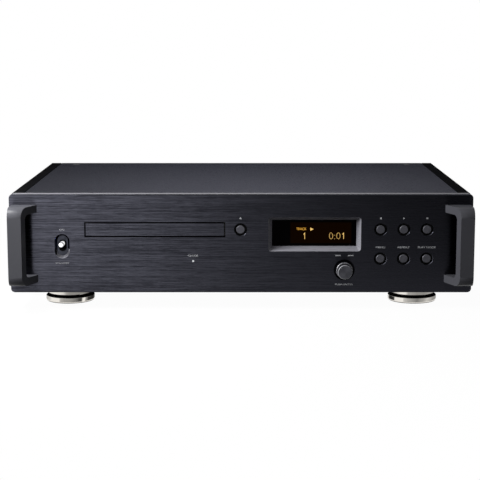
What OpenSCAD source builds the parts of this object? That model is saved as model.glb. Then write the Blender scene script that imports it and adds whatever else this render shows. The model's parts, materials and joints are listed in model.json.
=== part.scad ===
// CD transport with a disc tray, transport buttons, a jog knob and a power lever.
// Millimetres. X points right, Y points back and Z points up. The floor is at Z = 0.

/* [Front panel] */
// Width of the front panel
panel_w = 444; // [430:1:480]
// Height of the front panel
panel_h = 95.6; // [90:0.1:110]
// Thickness of the front panel
panel_t = 10; // [9:0.5:12]
// Radius of the front panel's corners
panel_corner = 4; // [2:0.5:6]
// Chamfer along the top and bottom edges of the front panel
panel_chamfer = 1; // [0.5:0.1:1.5]
// Gap under the front panel, which the feet fill
foot_gap = 16.6; // [14:0.1:20]

/* [Body] */
// Depth from the panel's front to the rear panel's outer face
body_d = 292; // [286:1:330]
// Reach of the rear sockets behind the rear panel
socket_reach = 13.5; // [12:0.5:18]
// Distance of the side panels from the ends of the front panel
side_inset = 1.5; // [0.5:0.1:3]
// Wall of the side panels
side_t = 3; // [2:0.5:4]
// Width of the strip that a side panel shows on top
side_strip = 10.8; // [9:0.1:14]
// Thickness of the top plate
top_t = 4; // [3:0.5:5]
// Step from the panel's top edge down to the top plate
top_step = 0.4; // [0.2:0.1:1.5]
// Gap between the top plate and the pieces around it
top_gap = 0.6; // [0.4:0.1:1.2]
// Thickness of the floor pan
floor_t = 2; // [1.5:0.5:3]
// Step from the panel's bottom edge up to the floor pan
floor_step = 1.2; // [0.5:0.1:3]
// Thickness of the rear panel
rear_t = 2; // [1.5:0.5:3]

/* [Handles] */
// Reach of the handles in front of the panel
handle_reach = 28; // [24:1:36]
// Height of a handle
handle_h = 75.2; // [66:0.1:84]
// Thickness of a handle's bar and arms
handle_bar = 7.4; // [6:0.1:9]
// Width of a handle at its front
handle_front_w = 13; // [11:0.5:16]
// Width of a handle where it meets the panel
handle_root_w = 24; // [20:0.5:28]
// Distance of a handle from the end of the front panel
handle_inset = 2.5; // [1:0.1:5]
// Outer corner radius of a handle
handle_corner = 9.5; // [6:0.5:12]

/* [Feet] */
// Diameter of a foot's dish
dish_d = 48.2; // [40:0.1:54]
// Height of a foot's dish
dish_h = 5.8; // [4.5:0.1:7]
// Diameter of a foot's collar
collar_d = 45; // [36:0.5:48]
// Gap between a dish and its collar
foot_slit = 1.8; // [1.5:0.1:4]
// Distance of the feet from the middle of the body
foot_x = 171; // [150:1:180]
// Distance of the feet from the front of the panel and from the rear panel
foot_inset = 50; // [44:1:60]

/* [Disc tray] */
// Diameter of a disc
disc_d = 120; // [120:0.1:121]
// Space around a disc in the tray
disc_play = 0.5; // [0.3:0.1:1]
// Depth of the tray's recess
recess_depth = 4.8; // [4.6:0.1:5]
// Diameter of the small recess inside it
small_recess_d = 81; // [80.6:0.1:82]
// Depth of the small recess
small_depth = 0.9; // [0.6:0.1:1]
// Thickness of the tray's floor
tray_floor = 2.2; // [2:0.1:2.6]
// Rim at each side of the tray's recess
tray_rim = 3.5; // [3:0.1:5]
// Tray in front of the recess
tray_nose = 7.5; // [6:0.5:10]
// Tray behind the recess
tray_tail = 51.5; // [48:0.5:60]
// Centre of the tray from the middle of the panel
tray_x = -82.7; // [-86:0.1:-80]
// Centre of the tray above the panel's bottom edge
tray_rise = 61.4; // [58:0.1:64]
// Height of the tray's door
door_h = 12; // [11.4:0.1:13]
// Thickness of the tray's door
door_t = 4; // [3:0.5:5]
// Overhang of the door at each side of the tray
door_side = 2.25; // [1.5:0.05:3]
// Gap around the door
door_gap = 1.4; // [0.8:0.1:1.8]

/* [Disc mechanism] */
// Depth from the middle of the tray to the underside of the loader
loader_depth = 38; // [38:0.5:42]
// Wall of the loader
loader_wall = 3; // [2.5:0.5:4]
// Thickness of the loader's base
loader_t = 2.5; // [2:0.5:3]
// Module of the loading gears
gear_module = 1; // [1:0.05:1.05]
// Teeth of the pinion that drives the tray
pinion_teeth = 20; // [18:1:22]
// Teeth of the wheel under the pinion
wheel_teeth = 28; // [26:1:30]
// Teeth of the belt pulley's gear
pulley_teeth = 16; // [16:1:18]
// Play between meshing teeth
backlash = 0.2; // [0.15:0.05:0.4]
// Radius of the belt pulley's groove
pulley_r = 11; // [10:0.2:11.6]
// Radius of the motor pulley's groove
motor_pulley_r = 3.2; // [3:0.1:4]
// Width and height of the drive belt
belt_t = 2; // [1.5:0.1:2.2]
// Height of the turntable over the traverse
hub_h = 15; // [14.5:0.5:16]
// Radius of the turntable
turntable_r = 15; // [13:0.5:17]
// Height of the spindle motor
spindle_h = 10.6; // [9:0.2:11.5]
// Sideways travel of the cam slider
cam_travel = 15; // [13:0.5:17]
// Distance of the lens from the disc's centre at its inner stop
lens_in = 23; // [22.5:0.1:24]
// Distance of the lens from the disc's centre at its outer stop
lens_out = 57; // [54:0.5:59]
// Radius of the guide rods and the lead screw
rod_r = 1.5; // [1.3:0.1:1.7]
// Radius of the feed motor
feed_r = 5; // [4.5:0.1:5.2]

/* [Buttons and switches] */
// Diameter of a button
button_d = 8.0; // [7:0.1:9.4]
// Diameter of a button's hole in the panel
button_hole_d = 11.6; // [11:0.1:13]
// Travel of a button
button_travel = 0.8; // [0.5:0.1:1.2]
// Place of the eject button from the middle of the panel
eject_x = -0.5; // [-1:0.1:4]
// First column of buttons from the middle of the panel
column_x = 133.9; // [130:0.1:138]
// Distance between the columns of buttons
column_pitch = 22.25; // [19:0.05:24]
// Lower row of buttons above the panel's bottom edge
low_row = 33.1; // [31:0.1:40]
// Diameter of the jog knob
knob_d = 15.5; // [14:0.1:18]
// Diameter of the jog knob's front face
knob_face_d = 12.8; // [11:0.1:13]
// Reach of the jog knob in front of the panel
knob_reach = 14; // [11:0.5:18]
// Diameter of the recess around the jog knob
knob_recess_d = 20.3; // [19.5:0.1:24]
// Place of the jog knob from the middle of the panel
knob_x = 99.3; // [96:0.1:102]
// Place of the jog knob above the panel's bottom edge
knob_rise = 22.2; // [21:0.1:24]
// Place of the power lever from the middle of the panel
lever_x = -171.9; // [-174:0.1:-170]
// Place of the power lever above the panel's bottom edge
lever_rise = 45.3; // [42:0.1:48]
// Diameter of the power lever
lever_d = 4.6; // [4:0.1:5]
// Reach of the power lever in front of the panel
lever_reach = 10; // [8:0.5:14]
// Tilt of the power lever above straight ahead when it is on
lever_tilt = 1.5; // [0:0.5:2]
// Width of the recess around the power lever
lever_recess_w = 14.4; // [14.2:0.1:16]
// Height of the recess around the power lever
lever_recess_h = 23.8; // [22:0.1:26]
// Slope of the recess around the power lever, from its front edge to its floor
lever_slope = 2.2; // [1.5:0.1:2.2]
// Place of the clock lamp from the middle of the panel
lamp_x = -46.1; // [-60:0.1:-30]
// Place of the clock lamp above the panel's bottom edge
lamp_rise = 30.8; // [28:0.1:34]

/* [Display] */
// Width of the display's opening at the panel's front
display_w = 89.1; // [84:0.1:92]
// Height of the display's opening at the panel's front
display_h = 33.1; // [30:0.1:36]
// Slope of the display's opening, from its front edge to the window
display_slope = 3.8; // [2.5:0.1:5]
// Place of the display from the middle of the panel
display_x = 70.6; // [66:0.1:71]
// Place of the display above the panel's bottom edge
display_rise = 56.8; // [54:0.1:60]

/* [Hidden] */
$fn = 48;
clear = 0.3;
fit = 0.05;

// Heights and depths of the casing
z_panel = foot_gap;
z_mid = z_panel + panel_h / 2;
z_top = z_panel + panel_h;
z_lid = z_top - top_step;
z_shelf = z_lid - top_t;
z_under = z_panel + floor_step;
z_in = z_under + floor_t;
y_front = (handle_reach - body_d - socket_reach) / 2;
y_back = y_front + panel_t;
y_rear = y_front + body_d;
y_inner = y_rear - rear_t;
y_grip = y_front - handle_reach;
x_side = panel_w / 2 - side_inset;
x_wall = x_side - side_t;
x_strip = x_side - side_strip;
x_shelf = x_strip - 7;
shelf_t = 3;
lip_w = 12;
lid_w = x_strip - top_gap;
rear_flange = 28;
lid_screw_x = x_strip - 20;
lid_screw_y = y_rear - 20;
key_d = 2.3;
key_depth = 1.3;
rear_screw_x = x_shelf - 6;
flange_h = 9;

// Handles and their screws
handle_x = panel_w / 2 - handle_inset;
grip_screw_x = handle_x - handle_root_w / 2;
grip_screw_z = handle_h / 2 - handle_bar / 2;
screw_r = 1.6;
grip_screw_r = 1.8;
grip_screw_in = 12;

// Feet
foot_places = [[-foot_x, y_front + foot_inset], [foot_x, y_front + foot_inset],
    [-foot_x, y_rear - foot_inset], [foot_x, y_rear - foot_inset]];
z_collar = dish_h + foot_slit;
spike_r = 5;
spike_seat = 3;
bolt_r = 3;

// Disc tray, with heights counted from the middle of the door
recess_r = disc_d / 2 + disc_play;
tray_w = 2 * recess_r + 2 * tray_rim;
door_w = tray_w + 2 * door_side;
disc_y = y_front + door_t + tray_nose + recess_r;
tray_z = z_panel + tray_rise;
v_front = y_front - disc_y;
v_back = y_back - disc_y;
v_tray = v_front + door_t;
v_tail = recess_r + tray_tail;
w_recess = -0.9;
w_rim = w_recess + recess_depth;
disc_t = 1.2;
w_puck = w_rim + 0.5;
w_tray = w_recess - tray_floor;
skirt_t = 3;
skirt_h = 1.4;
w_skirt = w_tray - skirt_h;
rack_h = 3.2;
w_rack = w_tray - rack_h;
tray_travel = door_t + tray_nose + 2 * recess_r + 2;
tray_slack = 2;
window_r = 21;

// Loader
w_base = -loader_depth;
w_deck = w_base + loader_t;
w_bridge = w_rim + 6;
bridge_t = 2.5;
u_wall = tray_w / 2 + tray_slack;
u_loader = u_wall + loader_wall;
v_loader = v_back + 3;
v_loader_end = v_tail + 6;
ledge_u = tray_w / 2 - skirt_t - 1;
post_u = u_loader - 9;
post_r = 6;

// Loading gears
rack_u = 34;
pinion_r = gear_module * pinion_teeth / 2;
wheel_r = gear_module * wheel_teeth / 2;
pulley_gear_r = gear_module * pulley_teeth / 2;
wheel_tip = wheel_r + gear_module;
gear_u = rack_u - pinion_r;
gear_v = v_back + wheel_tip + 6.75;
pulley_u = gear_u - wheel_r - pulley_gear_r;
motor_u = pulley_u - 42;
w_pinion = w_rack - 2.4;
w_wheel = w_pinion - 4;
w_pulley = w_wheel - 5.5;
w_belt = w_pulley + 2.75;
pulley_rim = pulley_r + belt_t / 2 + 0.4;
motor_rim = motor_pulley_r + belt_t / 2 + 0.4;
axle_r = 2;

// Traverse and pickup
w_seat = w_tray - 3.3;
lift = w_puck - disc_t + 0.1 - w_seat;
w_plate = w_seat - hub_h;
plate_t = 2;
w_sled = w_tray - lift - 0.8;
w_rod = w_plate + 3.4;
w_screw = w_tray - lift - 0.6 - feed_r;
slider_v = gear_v + wheel_tip + 0.8;
slider_t = 1.5;
plate_v = slider_v + slider_t + 2;
cone_r = 7.4;
spindle_r = 13;
rod_u = 24;
screw_u = -33;
sled_u = 29;
sled_v = 13;
nut_v = 6;
holder_t = 4;
holder_v = lens_in - sled_v - 1.5 - holder_t;
holder_end = lens_out + sled_v + 2;
feed_v = holder_end + 7;
feed_len = 12;
plate_end = feed_v + feed_len + 14;
mount_u = 36;
mount_places = [[-mount_u, plate_v + 9], [mount_u, plate_v + 9],
    [-mount_u, plate_end - 6], [mount_u, plate_end - 6]];
mount_r = 2.5;
grommet_t = 2;
cam_pins = [-32, 2];
pin_r = 1.5;

// Front controls
y_board = y_back + 13;
board_t = 1.6;
z_row_1 = z_panel + tray_rise;
z_row_2 = z_panel + low_row;
column_2 = column_x + column_pitch;
column_3 = column_2 + column_pitch;
button_places = [[eject_x, z_row_1], [column_x, z_row_1], [column_2, z_row_1], [column_3, z_row_1],
    [column_x, z_row_2], [column_2, z_row_2], [column_3, z_row_2]];
guide_depth = 4;
y_key = y_board - 5;
knob_z = z_panel + knob_rise;
knob_sink = 2;
knob_step = 4.5;
knob_groove = 1.2;
knob_recess = 4;
shaft_r = 3;
bushing_r = 5;
encoder_w = 13;
y_shaft = y_back + 8;
plunger_t = 1.6;
lever_z = z_panel + lever_rise;
lever_floor = 5;
lever_slot = [7.8, 11.4];
bush_t = 0.85;
bush_sink = 3;
pivot_y = y_back + 10;
pivot_z = lever_z + 1.7;
lever_ball_r = lever_slot[0] / 2 - fit - bush_t - clear;
lever_pin_r = 1;
lever_pin_reach = 5;
lamp_z = z_panel + lamp_rise;
lamp_r = 1;
display_z = z_panel + display_rise;
window_w = display_w - 2 * display_slope;
window_h = display_h - 2 * display_slope;
window_edge = 4;
window_t = 2;
board_lo = [eject_x - 7, z_panel + knob_rise - 9];
board_hi = [column_3 + 14, z_row_1 + 12];
stud_places = [[board_lo[0] + 14, board_lo[1] + 4], [board_lo[0] + 14, board_hi[1] - 28],
    [board_hi[0] - 5, board_lo[1] + 4], [board_hi[0] - 5, board_hi[1] - 4]];
stud_r = 2.5;

// Electronics
z_board = z_in + 10;
coil_x = x_wall - 67.5;
coil_y = 25;
coil_r = 45;
coil_bore = 16;
coil_h = 40;
signal_lo = [-x_shelf + 6, disc_y + v_loader_end + 8];
signal_hi = [-18, y_inner - 3];
power_w = 80;
power_hi = [coil_x - coil_r - 9, y_inner - 3];
power_lo = [power_hi[0] - power_w, 40];
board_studs = [for (a = [signal_lo[0] + 5, signal_hi[0] - 5, power_lo[0] + 5, power_hi[0] - 5])
    for (b = [signal_lo[1] + 5, y_inner - 8]) [a, b]];
socket_z = z_board + board_t + 9;
coaxial_x = -60;
optical_x = -92;
clock_x = -126;
inlet_x = x_wall - 52.5;
inlet_z = z_in + 28;

// Shapes used by several pieces

module box(lo, hi) {
    translate(lo) cube(hi - lo);
}

module along_x(x0, x1) {
    translate([x0, 0, 0]) rotate([90, 0, 90]) linear_extrude(x1 - x0) children();
}

module along_y(y0, y1) {
    translate([0, y1, 0]) rotate([90, 0, 0]) linear_extrude(y1 - y0) children();
}

module along_z(z0, z1) {
    translate([0, 0, z0]) linear_extrude(z1 - z0) children();
}

module bar_y(x, z, y0, y1, r) {
    translate([x, y0, z]) rotate([-90, 0, 0]) cylinder(h = y1 - y0, r = r);
}

module bar_z(x, y, z0, z1, r) {
    translate([x, y, z0]) cylinder(h = z1 - z0, r = r);
}

module turned_y(x, z) {
    translate([x, 0, z]) rotate([-90, 0, 0]) rotate_extrude() children();
}

module turned_z(x, y) {
    translate([x, y, 0]) rotate_extrude() children();
}

module rounded(w, h, r) {
    square([w - 2 * r, h], center = true);
    square([w, h - 2 * r], center = true);
    for (a = [-1, 1])
        for (b = [-1, 1])
            translate([a * (w / 2 - r), b * (h / 2 - r)]) circle(r);
}

module upright_slot(w, h) {
    square([w, h - w], center = true);
    for (b = [-1, 1])
        translate([0, b * (h - w) / 2]) circle(w / 2);
}

module front_rounded(depth, h, r) {
    translate([r, -h / 2]) square([depth - r, h]);
    translate([0, r - h / 2]) square([depth, h - 2 * r]);
    for (b = [-1, 1])
        translate([r, b * (h / 2 - r)]) circle(r);
}

// Angle between an involute's start and its point at radius r, in degrees
function involute_angle(base_r, r) = tan(acos(min(1, base_r / r))) * 180 / PI - acos(min(1, base_r / r));

// Half the angle of a tooth at radius r
function tooth_half(teeth, r) =
    let (pitch_r = gear_module * teeth / 2, base_r = pitch_r * cos(20))
    90 / teeth - backlash / 4 / pitch_r * 180 / PI + involute_angle(base_r, pitch_r)
    - involute_angle(base_r, max(base_r, r));

function polar(r, a) = [r * cos(a), r * sin(a)];

// Outline of one tooth, from its right root to its left root
function tooth_points(teeth, a) =
    let (pitch_r = gear_module * teeth / 2, root = pitch_r - 1.2 * gear_module, tip = pitch_r + gear_module,
        low = max(root, pitch_r * cos(20)), step = (tip - low) / 3)
    concat([polar(root, a - tooth_half(teeth, low))],
        [for (i = [0 : 3]) polar(low + i * step, a - tooth_half(teeth, low + i * step))],
        [for (i = [3 : -1 : 0]) polar(low + i * step, a + tooth_half(teeth, low + i * step))],
        [polar(root, a + tooth_half(teeth, low))]);

module gear_outline(teeth) {
    polygon([for (i = [0 : teeth - 1]) each tooth_points(teeth, 360 * i / teeth)]);
}

// The disc mechanism is drawn around the disc's centre, level with the middle of the door
module in_loader() {
    translate([tray_x, disc_y, tray_z]) children();
}

// Casing

module front_panel() {
    color([0.11, 0.11, 0.13]) difference() {
        union() {
            intersection() {
                along_y(y_front, y_back) translate([0, z_mid]) rounded(panel_w, panel_h, panel_corner);
                along_x(-panel_w / 2, panel_w / 2) polygon([[y_back, z_panel],
                    [y_front + panel_chamfer, z_panel], [y_front, z_panel + panel_chamfer],
                    [y_front, z_top - panel_chamfer], [y_front + panel_chamfer, z_top], [y_back, z_top]]);
            }
            for (p = stud_places)
                bar_y(p[0], p[1], y_back - 2, y_board, stud_r);
        }
        box([tray_x - door_w / 2 - door_gap, y_front - 1, tray_z - door_h / 2 - door_gap],
            [tray_x + door_w / 2 + door_gap, y_back + 1, tray_z + door_h / 2 + door_gap]);
        hull() {
            along_y(y_front - 0.02, y_front - 0.01)
                translate([display_x, display_z]) rounded(display_w, display_h, 3, $fn = 32);
            along_y(y_back - 1, y_back - 0.99)
                translate([display_x, display_z]) square([window_w, window_h], center = true);
        }
        box([display_x - window_w / 2, y_back - 1.5, display_z - window_h / 2],
            [display_x + window_w / 2, y_back + 1, display_z + window_h / 2]);
        for (p = button_places) {
            bar_y(p[0], p[1], y_front - 1, y_back + 1, button_hole_d / 2);
            turned_y(p[0], p[1]) polygon([[0, y_front - 0.2], [button_hole_d / 2 + 0.7, y_front - 0.2],
                [button_hole_d / 2 - 0.1, y_front + 0.6], [0, y_front + 0.6]]);
        }
        bar_y(knob_x, knob_z, y_front - 1, y_front + knob_recess, knob_recess_d / 2);
        bar_y(knob_x, knob_z, y_front, y_back + 1, shaft_r + 0.6);
        hull() {
            along_y(y_front - 0.02, y_front - 0.01)
                translate([lever_x, lever_z]) upright_slot(lever_recess_w, lever_recess_h, $fn = 32);
            along_y(y_front + lever_floor - 0.01, y_front + lever_floor) translate([lever_x, lever_z])
                upright_slot(lever_recess_w - 2 * lever_slope, lever_recess_h - 2 * lever_slope, $fn = 32);
        }
        along_y(y_front, y_back + 1)
            translate([lever_x, lever_z]) upright_slot(lever_slot[0], lever_slot[1]);
        bar_y(lamp_x, lamp_z, y_front - 1, y_back + 1, lamp_r + fit);
        for (a = [-1, 1])
            for (b = [-1, 1])
                bar_y(a * grip_screw_x, z_mid + b * grip_screw_z, y_front - 1, y_back + 1,
                    grip_screw_r + 0.2);
    }
}

module handle(side) {
    color([0.12, 0.12, 0.14]) difference() {
        intersection() {
            along_x(-panel_w / 2, panel_w / 2) translate([y_grip, z_mid]) difference() {
                front_rounded(handle_reach, handle_h, handle_corner);
                translate([handle_bar, 0])
                    front_rounded(handle_reach, handle_h - 2 * handle_bar, handle_corner / 2);
            }
            along_z(z_mid - handle_h, z_mid + handle_h) polygon([[side * handle_x, y_front],
                [side * handle_x, y_grip], [side * (handle_x - handle_front_w), y_grip],
                [side * (handle_x - handle_root_w), y_front]]);
        }
        for (b = [-1, 1])
            bar_y(side * grip_screw_x, z_mid + b * grip_screw_z, y_front - grip_screw_in, y_front + 1,
                grip_screw_r + fit);
    }
}

module left_handle() {
    handle(-1);
}

module right_handle() {
    handle(1);
}

module side_panel(side) {
    color([0.07, 0.07, 0.08]) union() {
        along_y(y_back, y_rear) polygon([[side * x_side, z_under], [side * x_side, z_lid],
            [side * x_strip, z_lid], [side * x_strip, z_shelf], [side * x_shelf, z_shelf],
            [side * x_shelf, z_shelf - shelf_t], [side * x_wall, z_shelf - shelf_t],
            [side * x_wall, z_under]]);
        along_y(y_back, y_inner - clear) polygon([[side * (x_wall + 1), z_in],
            [side * (x_wall + 1), z_in + shelf_t], [side * (x_wall - lip_w), z_in + shelf_t],
            [side * (x_wall - lip_w), z_in]]);
    }
}

module left_side() {
    side_panel(-1);
}

module right_side() {
    side_panel(1);
}

module top_plate() {
    color([0.2, 0.2, 0.22]) difference() {
        box([-lid_w, y_back + top_gap, z_shelf], [lid_w, y_rear - top_gap, z_lid]);
        for (a = [-1, 1]) {
            bar_z(a * lid_screw_x, lid_screw_y, z_shelf - 1, z_lid + 1, screw_r + 0.1);
            turned_z(a * lid_screw_x, lid_screw_y) polygon([[0, z_lid - 2], [screw_r + 0.1, z_lid - 2],
                [screw_r + 2.3, z_lid + 0.2], [0, z_lid + 0.2]]);
        }
    }
}

module floor_pan() {
    color([0.1, 0.1, 0.1]) difference() {
        union() {
            box([clear - x_wall, y_back, z_under], [x_wall - clear, y_rear, z_in]);
            box([lip_w + 6 - x_wall, y_back, z_in - 1],
                [x_wall - lip_w - 6, y_back + floor_t, z_in + flange_h]);
            for (p = board_studs)
                bar_z(p[0], p[1], z_in - 1, z_board, 3);
        }
        for (p = foot_places)
            bar_z(p[0], p[1], z_under - 1, z_in + 1, bolt_r + fit);
        bar_z(coil_x, coil_y, z_under - 1, z_in + 1, bolt_r + fit);
    }
}

module rear_panel() {
    color([0.09, 0.09, 0.1]) difference() {
        union() {
            box([clear - x_wall, y_inner, z_in], [x_wall - clear, y_rear, z_shelf - shelf_t - clear]);
            box([clear - x_shelf, y_inner, z_in], [x_shelf - clear, y_rear, z_shelf]);
            box([clear - x_shelf, y_rear - rear_flange, z_shelf - rear_t],
                [x_shelf - clear, y_rear, z_shelf]);
        }
        for (a = [-1, 1]) {
            bar_z(a * lid_screw_x, lid_screw_y, z_shelf - rear_t - 1, z_shelf + 1, screw_r + fit);
            for (h = [0.25, 0.7])
                bar_y(a * rear_screw_x, z_in + h * (z_shelf - z_in), y_inner - 1, y_rear + 1, screw_r + fit);
        }
        bar_y(coaxial_x, socket_z, y_inner - 1, y_rear + 1, 5.4 + fit);
        bar_y(clock_x, socket_z, y_inner - 1, y_rear + 1, 6 + fit);
        box([optical_x - 5.1, y_inner - 1, socket_z - 5.1], [optical_x + 5.1, y_rear + 1, socket_z + 5.1]);
        box([inlet_x - 14.1, y_inner - 1, inlet_z - 10.6], [inlet_x + 14.1, y_rear + 1, inlet_z + 10.6]);
    }
}

// Screws of the handles, the top plate and the rear panel, and bolts of the feet and the transformer
module case_screws() {
    color([0.16, 0.16, 0.17]) union() {
        for (a = [-1, 1]) {
            for (b = [-1, 1])
                turned_y(a * grip_screw_x, z_mid + b * grip_screw_z) polygon([[0,
                    y_front - grip_screw_in + 1],
                    [grip_screw_r, y_front - grip_screw_in + 1], [grip_screw_r, y_back], [3.4, y_back],
                    [3.4, y_back + 2.6], [0, y_back + 2.6]]);
            difference() {
                turned_z(a * lid_screw_x, lid_screw_y) polygon([[0, z_shelf - rear_t - 2],
                    [screw_r, z_shelf - rear_t - 2], [screw_r, z_lid - 1.9], [screw_r + 2, z_lid],
                    [0, z_lid]]);
                translate([a * lid_screw_x, lid_screw_y, z_lid - key_depth])
                    cylinder(h = 2 * key_depth, d = key_d, $fn = 6);
            }
            for (h = [0.25, 0.7])
                difference() {
                    turned_y(a * rear_screw_x, z_in + h * (z_shelf - z_in)) polygon([[0, y_inner - 4],
                        [screw_r, y_inner - 4], [screw_r, y_rear], [3.1, y_rear], [3.1, y_rear + 1.2],
                        [2.2, y_rear + 2], [0, y_rear + 2]]);
                    translate([a * rear_screw_x, y_rear + 2 + key_depth, z_in + h * (z_shelf - z_in)])
                        rotate([90, 0, 0]) cylinder(h = 2 * key_depth, d = key_d, $fn = 6);
                }
        }
        for (p = foot_places)
            turned_z(p[0], p[1]) polygon([[0, z_collar + spike_seat + 1], [bolt_r, z_collar + spike_seat + 1],
                [bolt_r, z_in], [5, z_in], [5, z_in + 3.5], [0, z_in + 3.5]]);
        turned_z(coil_x, coil_y) polygon([[0, z_under - 1], [5, z_under - 1], [5, z_under], [bolt_r, z_under],
            [bolt_r, z_in + coil_h], [30, z_in + coil_h], [30, z_in + coil_h + 2], [6, z_in + coil_h + 3],
            [0, z_in + coil_h + 3]]);
    }
}

module foot_collars() {
    color([0.8, 0.8, 0.78]) for (p = foot_places)
        turned_z(p[0], p[1]) polygon([[spike_r + fit, z_collar], [collar_d / 2 - 0.8, z_collar],
            [collar_d / 2, z_collar + 0.8], [collar_d / 2, z_under], [bolt_r + fit, z_under],
            [bolt_r + fit, z_collar + spike_seat], [spike_r + fit, z_collar + spike_seat]]);
}

module foot_spikes() {
    color([0.2, 0.2, 0.2]) for (p = foot_places)
        turned_z(p[0], p[1]) polygon([[0, dish_h - 2.4], [0.6, dish_h - 2.4], [spike_r, dish_h + 1],
            [spike_r, z_collar + spike_seat], [0, z_collar + spike_seat]]);
}

module foot_dishes() {
    color([0.8, 0.8, 0.78]) for (p = foot_places)
        turned_z(p[0], p[1]) polygon([[0, 0], [dish_d / 2 - 0.8, 0], [dish_d / 2, 0.8],
            [dish_d / 2, dish_h - 0.6], [dish_d / 2 - 0.6, dish_h], [spike_r, dish_h], [1, dish_h - 2.6],
            [0, dish_h - 2.6]]);
}

// Front controls

module button(place) {
    color([0.16, 0.16, 0.18]) turned_y(place[0], place[1]) polygon([[0, y_front - 0.2],
        [button_d / 2 - 0.4, y_front - 0.2], [button_d / 2, y_front + 0.2], [button_d / 2, y_back + clear],
        [button_d / 2 + 2.2, y_back + clear], [button_d / 2 + 2.2, y_back + clear + 1.4],
        [2, y_back + clear + 1.4], [2, y_key - button_travel - clear], [0, y_key - button_travel - clear]]);
}

module eject_button() {
    button(button_places[0]);
}

module stop_button() {
    button(button_places[1]);
}

module play_button() {
    button(button_places[2]);
}

module pause_button() {
    button(button_places[3]);
}

module menu_button() {
    button(button_places[4]);
}

module repeat_button() {
    button(button_places[5]);
}

module mode_button() {
    button(button_places[6]);
}

module button_guides() {
    color([0.03, 0.03, 0.03]) for (p = button_places)
        turned_y(p[0], p[1]) polygon([[button_d / 2 + 0.08, y_front + guide_depth],
            [button_hole_d / 2 - 0.02, y_front + guide_depth], [button_hole_d / 2 - 0.02, y_back],
            [button_d / 2 + 0.08, y_back]]);
}

module button_switches() {
    color([0.2, 0.2, 0.2]) for (p = button_places)
        union() {
            box([p[0] - 3, y_key + 1.5, p[1] - 3], [p[0] + 3, y_board, p[1] + 3]);
            bar_y(p[0], p[1], y_key, y_key + 2, 1.7);
        }
}

module control_board() {
    color([0.06, 0.25, 0.14]) box([board_lo[0], y_board, board_lo[1]],
        [board_hi[0], y_board + board_t, board_hi[1]]);
}

module jog_knob() {
    color([0.12, 0.12, 0.14]) turned_y(knob_x, knob_z) polygon([[0, y_front - knob_reach],
        [knob_face_d / 2, y_front - knob_reach], [knob_face_d / 2 + 0.6, y_front - knob_reach + 0.9],
        [knob_d / 2 - 0.5, y_front - knob_step - knob_groove],
        [knob_d / 2 - 1.1, y_front - knob_step - knob_groove],
        [knob_d / 2 - 1.1, y_front - knob_step], [knob_d / 2 - 0.4, y_front - knob_step],
        [knob_d / 2, y_front - knob_step + 0.4], [knob_d / 2, y_front + knob_sink],
        [shaft_r + 0.02, y_front + knob_sink],
        [shaft_r + 0.02, y_front - knob_reach + 2], [0, y_front - knob_reach + 2]]);
}

module jog_shaft() {
    color([0.7, 0.7, 0.7]) bar_y(knob_x, knob_z, y_front - knob_reach + 2, y_shaft, shaft_r);
}

module encoder_plunger() {
    color([0.5, 0.5, 0.5]) bar_y(knob_x, knob_z, y_shaft + 0.02, y_shaft + plunger_t, shaft_r);
}

module encoder_body() {
    color([0.3, 0.3, 0.32]) difference() {
        union() {
            bar_y(knob_x, knob_z, y_back, y_back + 4, bushing_r);
            box([knob_x - encoder_w / 2, y_back + 3.5, knob_z - encoder_w / 2],
                [knob_x + encoder_w / 2, y_board, knob_z + encoder_w / 2]);
        }
        bar_y(knob_x, knob_z, y_back - 1, y_shaft + plunger_t + button_travel + clear, shaft_r + fit);
    }
}

module power_lever() {
    color([0.85, 0.85, 0.85]) translate([lever_x, pivot_y, pivot_z]) union() {
        rotate([-lever_tilt, 0, 0]) rotate([-90, 0, 0]) rotate_extrude() difference() {
            union() {
                polygon([[0, y_front - pivot_y - lever_reach],
                    [lever_d / 2 - 1, y_front - pivot_y - lever_reach],
                    [lever_d / 2, y_front - pivot_y - lever_reach + 1], [lever_d / 2, y_front - pivot_y],
                    [lever_d / 2 - 0.6, -2], [0, -2]]);
                translate([0, -2]) square([lever_d / 2 - 0.6, 2]);
                circle(lever_ball_r);
            }
            translate([-10, -5]) square([10, 10]);
        }
        rotate([0, 90, 0]) cylinder(h = 2 * lever_pin_reach, r = lever_pin_r, center = true);
    }
}

module power_switch() {
    color([0.1, 0.1, 0.1]) difference() {
        union() {
            along_y(y_front + lever_floor + bush_sink, y_back + 1) translate([lever_x, lever_z])
                upright_slot(lever_slot[0] - 2 * fit, lever_slot[1] - 2 * fit);
            box([lever_x - 6.5, y_back, lever_z - 9], [lever_x + 6.5, y_back + 16, lever_z + 9]);
        }
        along_y(y_front, pivot_y + lever_ball_r + clear) translate([lever_x, lever_z])
            upright_slot(lever_slot[0] - 2 * fit - 2 * bush_t, lever_slot[1] - 2 * fit - 2 * bush_t);
        translate([lever_x, pivot_y, pivot_z]) rotate([0, 90, 0])
            cylinder(h = 4 * lever_pin_reach, r = lever_pin_r + fit, center = true);
    }
}

module display_window() {
    color([0.08, 0.06, 0.05]) box(
        [display_x - window_w / 2 - window_edge, y_back, display_z - window_h / 2 - window_edge],
        [display_x + window_w / 2 + window_edge, y_back + window_t, display_z + window_h / 2 + window_edge]);
}

module display_module() {
    color([0.05, 0.05, 0.05]) union() {
        box([display_x - window_w / 2 - 1, y_back + window_t, display_z - window_h / 2 - 1],
            [display_x + window_w / 2 + 1, y_back + 7, display_z + window_h / 2 + 1]);
        box([display_x - window_w / 2 - 2, y_back + 6, display_z - window_h / 2 - 2],
            [display_x + window_w / 2 + 2, y_board, display_z + window_h / 2 + 2]);
    }
}

module clock_lamp() {
    color([0.95, 0.95, 1]) turned_y(lamp_x, lamp_z) polygon([[0, y_front - 0.1], [lamp_r, y_front - 0.1],
        [lamp_r, y_back], [lamp_r + 1, y_back], [lamp_r + 1, y_back + 4], [0, y_back + 4]]);
}

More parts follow.
